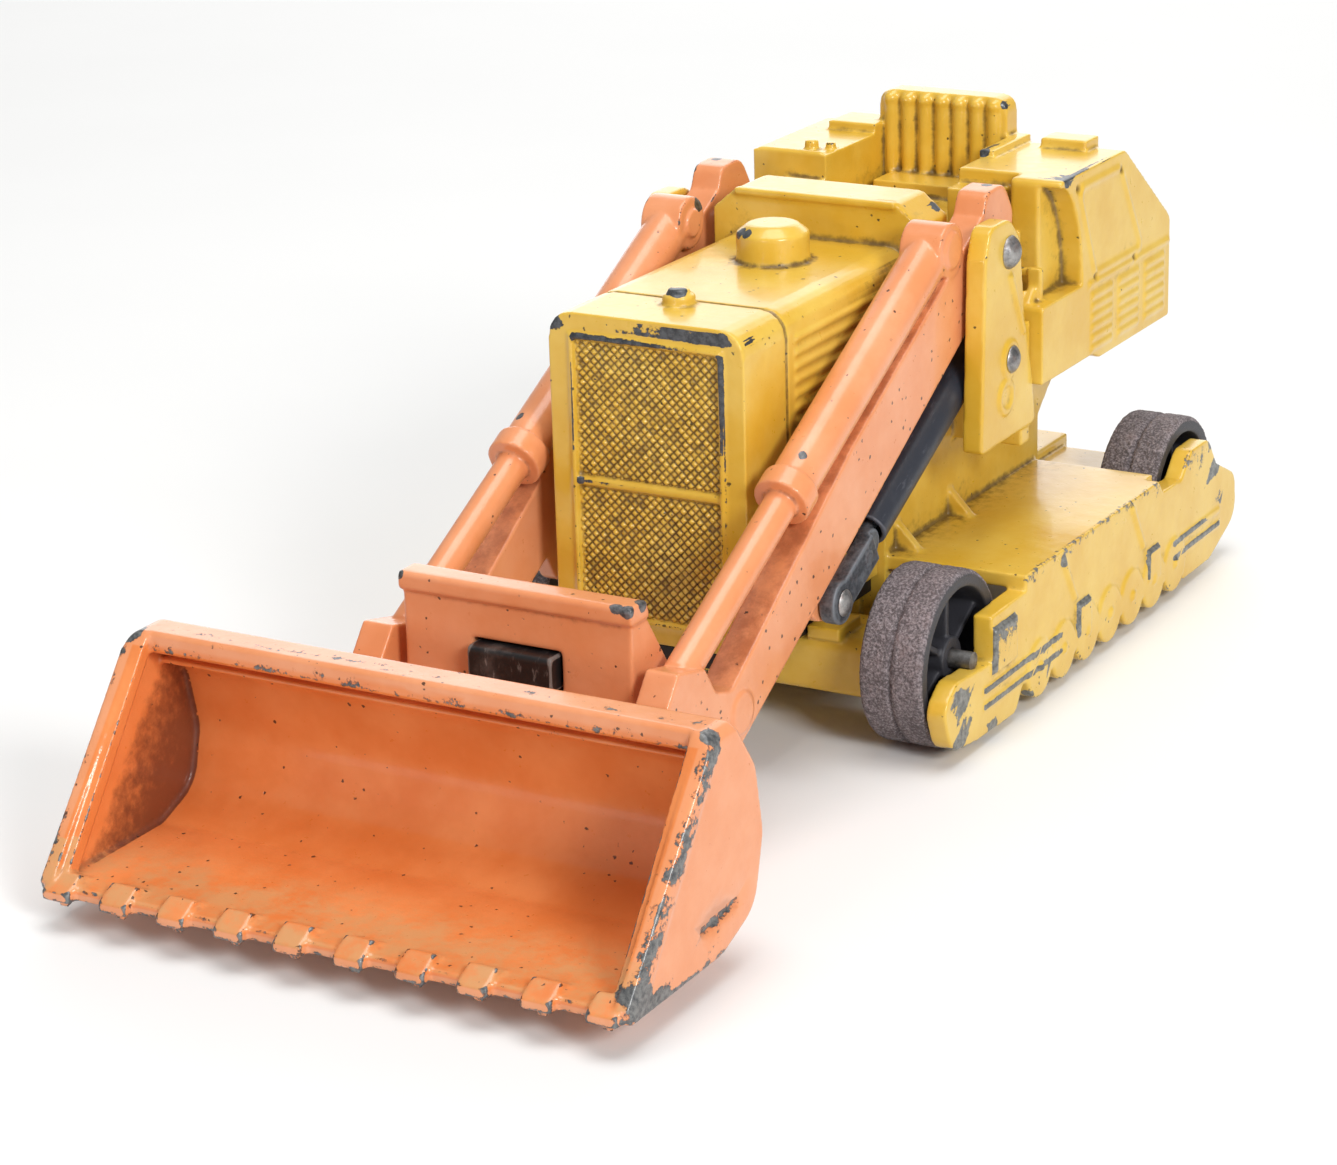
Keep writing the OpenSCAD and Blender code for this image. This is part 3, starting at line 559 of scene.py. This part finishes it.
def body_stain(p, n):
    """Grime in the groove and dents, round the stack and on the cockpit floor, and painted shadow
    of the lift arms on the hood sides.
    """
    groove = near_band(p[:, 1], -5.6, -5.1, 0.15) * 0.75
    dents = np.maximum.reduce([1.1 - from_dent(p, dent) / 0.8 for dent in DOOR_DENTS])
    dents = np.maximum(dents, 0) * (p[:, 0] > DOOR_X)
    foot = near_band(np.hypot(p[:, 0], p[:, 1] - 13.0), 3.7, 4.6, 0.6)
    foot = foot * near_band(p[:, 2], 46, 47.6, 0.3) * 0.55
    cockpit = near_band(p[:, 1], 30, 52, 1) * near_band(p[:, 2], 44, 46.6, 0.4)
    cockpit = cockpit * (n[:, 2] > 0.6) * 0.42
    # Painted shadow: both hood sides are darkened in a band below the lift arm's line.
    side = (across(p) > 10.4) * (across(p) < 12.4) * (np.abs(n[:, 0]) > 0.3)
    below_arm = 38.8 + 0.53 * p[:, 1] - p[:, 2]
    side = side * near_band(p[:, 1], -12.0, 24, 2.5) * near_band(below_arm, 1.6, 11, 2.6) * 0.64
    return np.maximum.reduce([groove, dents, foot, cockpit, side])


def body_wear(p, n):
    """Heavier on the pivot towers and the front edges of the tank."""
    towers = (across(p) > 18.2) * (p[:, 1] < 26)
    tank_edge = near_band(p[:, 1], 37, 39.6, 0.5) * (p[:, 0] > 12)
    return 0.45 + 0.12 * towers + 0.12 * tank_edge


paint_numbers(body_skin, wear=body_wear, stain=body_stain,
              bare=lambda p, n: spots(p, *HOOD_CHIPS))
finish_piece(body_skin, "root", body_paint, "yellow_body", "upper_body")


def knurled_panel():
    """Radiator mesh: small pyramids in a diagonal grid, as one closed slab."""
    half, low, high, back, front = 8.25, 15.65, 44.45, -13.4, -13.9
    pitch, height, spacing = 0.94, 0.42, 0.11
    nx, nz = int(2 * half / spacing) + 1, int((high - low) / spacing) + 1
    x, z = np.meshgrid(np.linspace(-half, half, nx), np.linspace(low, high, nz))
    u, v = (x + z) / pitch, (x - z) / pitch
    heights = np.random.default_rng(11).uniform(0.4, 1.0, (97, 89))
    uneven = heights[np.floor(u).astype(int) % 97, np.floor(v).astype(int) % 89]
    groove = lambda t: 2 * np.abs(t - np.floor(t) - 0.5)
    peak = np.minimum(1 - np.maximum(groove(u), groove(v)), 0.62) / 0.62
    bar = np.clip(np.abs(z - 29.55) / 0.5 - 0.8, 0, 1)
    tall = peak * bar * uneven
    y = front - height * tall
    points = np.stack([x, y, z], -1).reshape(-1, 3)
    index = np.arange(nx * nz).reshape(nz, nx)
    corners = [index[:-1, :-1], index[:-1, 1:], index[1:, 1:], index[1:, :-1]]
    quads = np.stack(corners, -1).reshape(-1, 4).tolist()
    border = [index[0, :], index[1:, -1], index[-1, -2::-1], index[-2:0:-1, 0]]
    ring = np.concatenate(border).tolist()
    start = len(points)
    behind = points[ring].copy()
    behind[:, 1] = back
    count = len(ring)
    for i in range(count):
        j = (i + 1) % count
        quads.append([ring[j], ring[i], start + i, start + j])
    quads.append([start + i for i in range(count)][::-1])
    mesh = bpy.data.meshes.new("grille_panel")
    where = np.vstack([points, behind])
    mesh.from_pydata((where * MM).tolist(), [], quads)
    obj = bpy.data.objects.new("grille_panel", mesh)
    bpy.context.scene.collection.objects.link(obj)
    for polygon in mesh.polygons:
        polygon.use_smooth = True
    flat = np.concatenate([tall.ravel(), np.zeros(count)])
    # Painted shade: the pits between the pyramids are darkened, most of all around one patch.
    set_number(mesh, "cavity", np.clip(0.92 - 1.25 * flat, 0, 1))
    set_number(mesh, "edge", 0.25 * (flat > 0.6))
    set_number(mesh, "wear", np.full(len(flat), 0.35))
    darker_patch = np.exp(-((where[:, 0] - 2.5)**2 / 14 + (where[:, 2] - 24)**2 / 22))
    set_number(mesh, "stain", np.clip(1 - flat * 2.2, 0, 1) * (0.25 + 0.75 * darker_patch))
    return obj


panel = knurled_panel()
panel.data.materials.append(body_paint)
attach(panel, "root")

chassis_skin = enamelled("chassis_skin", nodes_mesh(["chassis"]), 0.21, 1, reach=1.1)


# X beyond which a point is on a skirt's raised work
SKIRT_FACE = 28
# Y where the two small steps of a skirt start
SKIRT_STEPS = (28.2, 47.9)
# Chips on both skirts: distance from the centre plane, y, z and radius
SKIRT_CHIPS = (
    (28.6, 24.5, 14.2, 0.9), (28.4, 40.2, 10.6, 0.8), (28.4, 41.2, 10.9, 0.8),
    (28.4, 68.6, 12.2, 1.5), (28.2, 69.6, 13.0, 1.3), (28.3, 6.6, 1.4, 1.4),
    (28.3, 15.6, 1.4, 1.2), (28.5, 69.3, 8.8, 0.7), (28.5, 70.4, 7.6, 0.5))
# Worn ridges on a skirt's face: both ends as Y and Z, and the half width
SKIRT_RIDGES = (
    ((4.5, 6.1), (23.5, 6.1), 0.42), ((4.5, 4.3), (23.5, 4.3), 0.42),
    ((55.4, 6.7), (65.0, 6.7), 0.4), ((55.4, 5.0), (70.0, 5.0), 0.4),
    ((6.4, 12.1), (12.0, 12.1), 0.6), ((6.5, 7.6), (6.5, 12.1), 0.6),
    ((28.2, 8.0), (31.5, 8.0), 0.55), ((28.2, 4.6), (28.2, 8.0), 0.5),
    ((47.9, 8.0), (51.2, 8.0), 0.35), ((47.9, 5.0), (47.9, 8.0), 0.35))


def skirt_bare(p, n):
    """Bare metal on the right skirt's front hook, and on the chips, ridges and top of both."""
    hook = 1 - np.abs(np.hypot(p[:, 1] + 1.9, p[:, 2] - 4.9) - 2.5) / 1.3
    hook = hook * (p[:, 1] > -2.9) * (p[:, 1] < 2.6) * (p[:, 0] > 27.5)
    mirrored = np.abs(p) * (1, 0, 0) + p * (0, 1, 1)
    chips = spots(mirrored, *SKIRT_CHIPS)
    ridges = np.maximum.reduce([along(p, *ridge) * 1.2 for ridge in SKIRT_RIDGES])
    ridges = ridges * (across(p) > 28.5)
    top_edge = 0.21 * (np.abs(across(p) - 28.2) < 0.35) * (p[:, 2] > 14.6)
    return np.maximum.reduce([hook, chips, ridges, top_edge]) * (across(p) > 26.5)


def skirt_wear(p, n):
    """Heavier on the boxes and lobes of the skirts."""
    y, z = p[:, 1], p[:, 2]
    boxes = [near_band(y, 6.0, 7.3, 0.5) * near_band(z, 7.6, 12.6, 0.3),
             near_band(y, 6.0, 12.4, 0.3) * near_band(z, 11.5, 12.6, 0.3)]
    for start in SKIRT_STEPS:
        boxes.append(near_band(y, start - 0.3, start + 3.6, 0.3) * near_band(z, 7.4, 8.4, 0.4))
        boxes.append(near_band(y, start - 0.3, start + 0.5, 0.3) * near_band(z, 4.2, 8.4, 0.4))
    box = np.maximum.reduce(boxes) * (across(p) > SKIRT_FACE)
    return 0.36 + 0.42 * box + 0.2 * near_band(z, 0, 2.2, 1.5)


def skirt_stain(p, n):
    """Darker on the deck, most next to the centre box."""
    deck = near_band(p[:, 2], 15.0, 15.8, 0.3) * (n[:, 2] > 0.5)
    return deck * np.clip(0.62 - (across(p) - 12) / 14, 0, 0.5)


paint_numbers(chassis_skin, wear=skirt_wear, stain=skirt_stain, bare=skirt_bare)
finish_piece(chassis_skin, "root", chassis_paint, "yellow_chassis", "chassis")


# Chips on the right arm: x, y, z and radius; the left arm has them mirrored
ARM_CHIPS = (
    (13.4, 20.6, 50.4, 1.2), (14.8, 21.2, 50.9, 1.2), (16.4, 30.8, 53.2, 0.8),
    (14.0, -12.0, 35.6, 0.9), (16.6, -12.4, 35.2, 0.9), (15.4, -13.0, 35.4, 0.6))
# Chips on the cross box: x, y, z and radius
BOX_CHIPS = (
    (12.6, -40.6, 27.0, 0.9), (11.4, -40.6, 27.2, 0.8), (-12.9, -40.6, 27.0, 0.6),
    (12.9, -38.4, 27.0, 0.9))


def arm_dust_and_shade(p, n):
    """Dust and painted shade on the arm plate's upper edge, under the ram."""
    upward = np.clip((n @ np.array((0, -0.53, 0.85)) - 0.8) / 0.15, 0, 1)
    under_ram = p[:, 2] < 0.62 * p[:, 1] + 37.4
    return 0.8 * upward * (across(p) > 14) * near_band(p[:, 1], -34, 16, 2) * under_ram


for side, sign in (("left", -1), ("right", 1)):
    bm = nodes_mesh(["arm_" + side])
    # Round boss on the outside of the ram's head.
    add_rod(bm, (sign * 15.5, 19.0, 48.5), (sign * 18.25, 19.0, 48.5), 1.9)
    skin = enamelled("arm_skin_" + side, bm, 0.17, 2)
    chips = [(sign * x, y, z, radius) for x, y, z, radius in ARM_CHIPS]
    paint_numbers(
        skin, wear=lambda p, n: 0.34 + 0.2 * near_band(p[:, 1], 14, 40, 4), dusty=arm_dust_and_shade,
        stain=nothing, bare=lambda p, n: spots(p, *chips))
    finish_piece(skin, "lift_arms", arm_paint, "orange_arms", "arm_" + side)

box_skin = enamelled("crossbox_skin", nodes_mesh(["arm_crossbox"]), 0.18, 2)
paint_numbers(
    box_skin, wear=lambda p, n: 0.38 + 0.12 * near_band(p[:, 2], 26.0, 30, 1),
    stain=nothing, dusty=nothing, bare=lambda p, n: spots(p, *BOX_CHIPS))
finish_piece(box_skin, "lift_arms", arm_paint, "orange_arms", "arm_crossbox")


# Y behind which a face that looks backwards is on the outside of the bucket
BUCKET_BACK = -53.4
# Slot pressed into the lower rear of each cheek, as both ends in Y and Z
CHEEK_SLOT = (-61.6, 6.7), (-55.6, 7.1)
# Worn corners of the bucket: x, y, z and radius
BUCKET_CORNERS = (
    (-31.6, -58.6, 24.2, 1.6), (31.6, -58.4, 24.2, 1.4), (31.4, -72.6, 4.6, 2.4),
    (-31.8, -73.6, 3.8, 1.6))


def mouth_depth(p):
    """How far a point lies behind the plane of the bucket's mouth, in millimetres."""
    return (p[:, 1] + 74.6) * 0.766 - (p[:, 2] - 4.0) * 0.643


def at_mouth(p):
    """1 at the plane of the bucket's mouth, falling to 0 on both sides of it."""
    return np.clip(1.3 - np.abs(mouth_depth(p)) / 1.3, 0, 1)


def bucket_wear(p, n):
    """Heavy on the front edges of the cheeks and on the lip, lighter on the rim."""
    rim = at_mouth(p) * (across(p) > 29.5)
    worn = np.where(p[:, 0] > 0, 1.15 + 0.3 * np.sin(p[:, 2] * 0.55 + 1.2), 0.85)
    top = near_band(p[:, 2], 23.6, 30, 0.6)
    lip = near_band(p[:, 1], -80, -73.4, 1.0)
    under = near_band(p[:, 2], 0, 3.6, 1.2) * (across(p) > 30.5)
    return 0.3 + np.maximum.reduce([0.5 * rim * worn, 0.42 * lip, 0.12 * top, 0.38 * under])


def bucket_inside(p, n):
    """1 on the hollow side of the bucket."""
    hollow = (across(p) < 30.9) & (p[:, 2] > 3.9) & (p[:, 2] < 23.2)
    behind = (p[:, 1] > BUCKET_BACK) & (n[:, 1] > 0)
    return hollow * ~behind * 1.0


def bucket_stain(p, n):
    """Burnt stain and painted shade on the inner left cheek, darkest towards the back."""
    cheek = (p[:, 0] < -29.0) * (p[:, 0] > -31.4) * (n[:, 0] > 0.05)
    depth = mouth_depth(p)
    # Painted shade that grows with the distance behind the mouth, mixed with the stain.
    return cheek * np.clip((depth - 2.6) / 1.4, 0, 1) * (0.45 + 0.05 * np.clip(depth, 0, 12))


def bucket_bare(p, n):
    """Slot in each cheek, worn front edges, crest and feet, and a few corners."""
    x, y, z = p.T
    slot = along(p, *CHEEK_SLOT, 0.75) * 0.62 * (across(p) > 31)
    corners = spots(p, *BUCKET_CORNERS)
    ragged = 0.30 + 0.10 * np.sin(z * 0.9 + 0.4) + 0.06 * np.sin(z * 2.3)
    right = near_band(x, 31.2, 34, 0.45) * at_mouth(p) * ragged
    left = near_band(-x, 31.4, 34, 0.35) * at_mouth(p) * (ragged - 0.06)
    low = near_band(z, -1, 3.3, 0.4) * near_band(y, -80, -73.6, 0.8) * 0.26
    crest = near_band(z, 22.6, 30, 0.6) * np.clip(1.2 - np.abs(mouth_depth(p) - 0.2) / 0.7, 0, 1)
    crest = crest * (0.22 + 0.05 * np.sin(x * 0.7))
    foot = near_band(y, -68, -58, 1.5) * near_band(z, -1, 3.4, 0.7) * (across(p) > 31.2) * 0.26
    return np.maximum.reduce([slot, corners, right, left, low, crest, foot])


def bucket_dust(p, n):
    """Dust on the floor behind the lip."""
    return 0.9 * near_band(p[:, 1], -76, -67.5, 6) * (n[:, 2] > 0.3) * (p[:, 2] < 8)


def slot_mark(p, n):
    """Presses the slot into the lower rear of each cheek."""
    return -0.45 * (along(p, *CHEEK_SLOT, 0.8) > 0.35) * (across(p) > 31.2)


bucket_skin = enamelled("bucket_skin", nodes_mesh(["bucket"]), 0.2, 2, rough=slot_mark)
paint_numbers(bucket_skin, wear=bucket_wear, inside=bucket_inside, stain=bucket_stain,
              bare=bucket_bare, dusty=bucket_dust)
finish_piece(bucket_skin, "bucket", bucket_paint, "orange_bucket", "bucket")


# ---------------------------------------------------------------- wheels and small pieces

for name in ("wheel_front_left", "wheel_front_right", "wheel_rear_left", "wheel_rear_right"):
    low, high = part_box(name)
    centre = (low + high) / 2 / MM
    # Radius at which the tread starts, a little inside the wheel's own
    tread_start = (high[2] - low[2]) / 2 / MM - 0.8

    def from_axle(p, centre=centre):
        """Distance of each point from the wheel's axis."""
        return np.hypot(p[:, 1] - centre[1], p[:, 2] - centre[2])

    def ground(p, n):
        """Uneven, pitted tread."""
        x, y, z = p.T
        wave = np.sin(x * 5.1 + y * 7.3) * np.sin(z * 6.1 - y * 4.7)
        wave = wave + np.sin(z * 11.0 + x * 9.0) * 0.5
        return 0.035 * wave * (from_axle(p) > 9.0)

    skin = enamelled(name + "_skin", nodes_mesh([name]), 0.16, 2, rough=ground)
    paint_numbers(skin, tread=lambda p, n: np.clip((from_axle(p) - tread_start) / 0.5, 0, 1))
    finish_piece(skin, name, wheel_black, "wheel_black", name)

for side in ("left", "right"):
    finish_piece(enamelled("cylinder_skin_" + side, nodes_mesh(["lift_cylinder_" + side]), 0.12, 2),
                 "cylinder_" + side, cylinder_black, "cylinder_black", "lift_cylinder_" + side)
    finish_piece(enamelled("link_skin_" + side, nodes_mesh(["lift_rod_" + side]), 0.1, 2),
                 "rod_" + side, link_metal, "link_grey", "lift_rod_" + side)
finish_piece(enamelled("catch_skin", nodes_mesh(["tilt_catch"]), 0.1, 2),
             "catch", catch_plastic, "catch_black", "tilt_catch")

for prefix, body in (("arm_rivet", "root"), ("cylinder_rivet", "root"), ("rod_rivet", "lift_arms")):
    for side in ("left", "right"):
        name = f"{prefix}_{side}"
        finish_piece(enamelled(name + "_skin", nodes_mesh([name]), 0.1, 2),
                     body, rivet_metal, "rivet_steel", name)

# Plain CAD pieces that only get a material and soft edges.
for name, material in (
        ("base_plate", base_black), ("base_rivets", rivet_metal), ("front_axle", axle_metal),
        ("rear_axle", axle_metal), ("catch_spring", axle_metal),
        ("bucket_pin_left", rivet_metal), ("bucket_pin_right", rivet_metal)):
    node = NODES[name]
    node.data.materials.clear()
    node.data.materials.append(material)
    bevel = node.modifiers.new("bevel", "BEVEL")
    bevel.width = 0.15 * MM
    bevel.segments = 2
    bevel.limit_method = "ANGLE"


# ---------------------------------------------------------------- floor, light and camera

def studio():
    """Pale floor with soft light from above and the right."""
    g = Graph("floor_paper")
    g.set(color=g.mix(g.noise(60, 2), rgb(232, 232, 231), rgb(236, 236, 235)), rough=0.8, metal=0.0)
    bpy.ops.mesh.primitive_plane_add(size=6, location=(0, 0, 0))
    floor = bpy.context.object
    floor.name = "floor"
    floor.data.materials.append(g.material)

    def softbox(name, place, target, size, watts, colour=(1, 1, 1)):
        lamp = bpy.data.lights.new(name, "AREA")
        lamp.shape, lamp.size, lamp.energy, lamp.color = "SQUARE", size, watts, colour
        obj = bpy.data.objects.new(name, lamp)
        obj.location = place
        obj.rotation_euler = (Vector(target) - Vector(place)).to_track_quat("-Z", "Y").to_euler()
        bpy.context.scene.collection.objects.link(obj)

    softbox("overhead", (0.05, -0.02, 0.75), (0, 0, 0.02), 0.5, 3.5)
    softbox("right_front", (0.62, -0.38, 0.40), (0, 0, 0.02), 0.22, 4.2)
    softbox("front", (-0.03, -0.95, 0.22), (0, 0, 0.03), 0.14, 1.1)
    softbox("behind", (-0.35, 0.80, 0.32), (0, 0, 0.03), 0.9, 4.8)
    world = bpy.data.worlds.new("studio")
    bpy.context.scene.world = world
    world.use_nodes = True
    world.node_tree.nodes["Background"].inputs[0].default_value = (1.0, 1.0, 1.0, 1)
    world.node_tree.nodes["Background"].inputs[1].default_value = 0.31


def camera():
    """The photograph's own viewing angle and lens."""
    azimuth, elevation, roll = math.radians(30.07), math.radians(19.08), math.radians(-1.61)
    target, distance = Vector((0.00193, -0.01424, 0.0200)), 0.3708
    back = Vector((math.sin(azimuth) * math.cos(elevation),
                   -math.cos(azimuth) * math.cos(elevation), math.sin(elevation)))
    right = (-back).cross(Vector((0, 0, 1))).normalized()
    up = right.cross(-back).normalized()
    x = right * math.cos(roll) + up * math.sin(roll)
    y = -right * math.sin(roll) + up * math.cos(roll)
    data = bpy.data.cameras.new("camera")
    data.sensor_width, data.lens = 36.0, 98.51
    data.clip_start, data.clip_end = 0.01, 20
    obj = bpy.data.objects.new("camera", data)
    spot = target + back * distance
    obj.matrix_world = Matrix(((x[0], y[0], back[0], spot[0]), (x[1], y[1], back[1], spot[1]),
                               (x[2], y[2], back[2], spot[2]), (0, 0, 0, 1)))
    bpy.context.scene.collection.objects.link(obj)
    bpy.context.scene.camera = obj


studio()
camera()
bpy.context.scene.view_settings.view_transform = "Standard"
